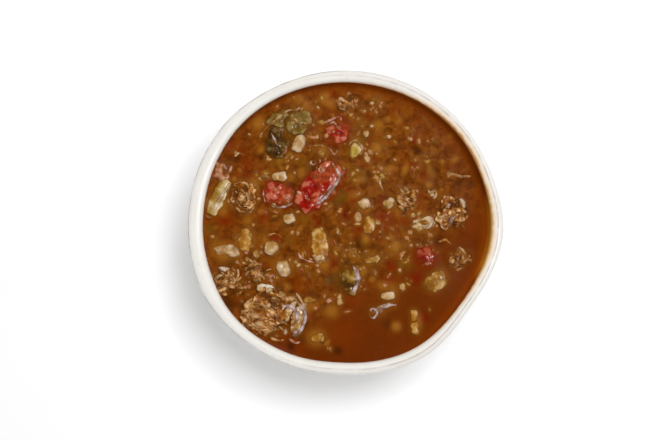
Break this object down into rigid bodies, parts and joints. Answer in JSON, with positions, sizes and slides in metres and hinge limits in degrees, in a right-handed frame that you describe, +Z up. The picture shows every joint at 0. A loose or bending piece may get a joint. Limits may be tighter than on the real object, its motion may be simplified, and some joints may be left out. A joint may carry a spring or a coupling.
{
  "type": "bowl of pepper steak soup",
  "caption": "Round hand-formed stoneware bowl on a foot ring, filled with thick brown soup of crumbled beef, pepper strips, celery and diced onion",
  "frame": {"origin": "under the middle of the bowl's bounding box, on the surface that the foot ring stands on", "axes": "+Z up through the bowl, which is its shortest side; +X to the right and +Y to the top of the picture"},
  "size_m": [0.1436, 0.1382, 0.0624],
  "materials": {
    "glaze": "glossy off-white stoneware glaze, thinner and greyer along the lip",
    "broth": "wet thick brown soup, redder towards the wall",
    "red_pepper": "wet glossy red pepper skin",
    "green_pepper": "cooked olive green pepper skin, browned by the broth",
    "yellow_pepper": "cooked yellow pepper and corn",
    "celery": "pale yellow-green celery",
    "beef": "crumbled and shredded cooked beef, wet",
    "onion": "soft translucent cooked onion"
  },
  "bodies": {
    "root": {"bowl": "glaze", "soup": "broth", "red_pepper_large": "red_pepper", "red_pepper_left": "red_pepper", "red_pepper_top": "red_pepper", "red_pepper_right": "red_pepper", "green_pepper_dark": "green_pepper", "green_pepper_olive": "green_pepper", "green_pepper_slab": "green_pepper", "green_pepper_centre": "green_pepper", "yellow_pepper_stick": "yellow_pepper", "yellow_pepper_right": "yellow_pepper", "yellow_pepper_sunk": "yellow_pepper", "pepper_pale_cluster": "yellow_pepper", "kernel_low": "yellow_pepper", "kernel_right": "yellow_pepper", "kernel_amber": "yellow_pepper", "celery_left": "celery", "celery_centre": "celery", "celery_top": "celery", "beef_shredded": "beef", "beef_left": "beef", "beef_left_edge": "beef", "beef_lower_left": "beef", "beef_tan": "beef", "beef_right_inner": "beef", "beef_right_outer": "beef", "beef_right_low": "beef", "beef_top": "beef", "onion_tall": "onion", "onion_on_pepper": "onion", "onion_dice_left": "onion", "onion_dice_centre": "onion", "onion_dice_middle": "onion", "onion_cube": "onion", "onion_gold": "onion", "onion_dice_low": "onion", "onion_wedge": "onion", "onion_crescent": "onion", "onion_strip": "onion", "onion_curl": "onion", "onion_curl_inner": "onion", "onion_right": "onion", "onion_membrane": "onion"}
  },
  "joints": []
}
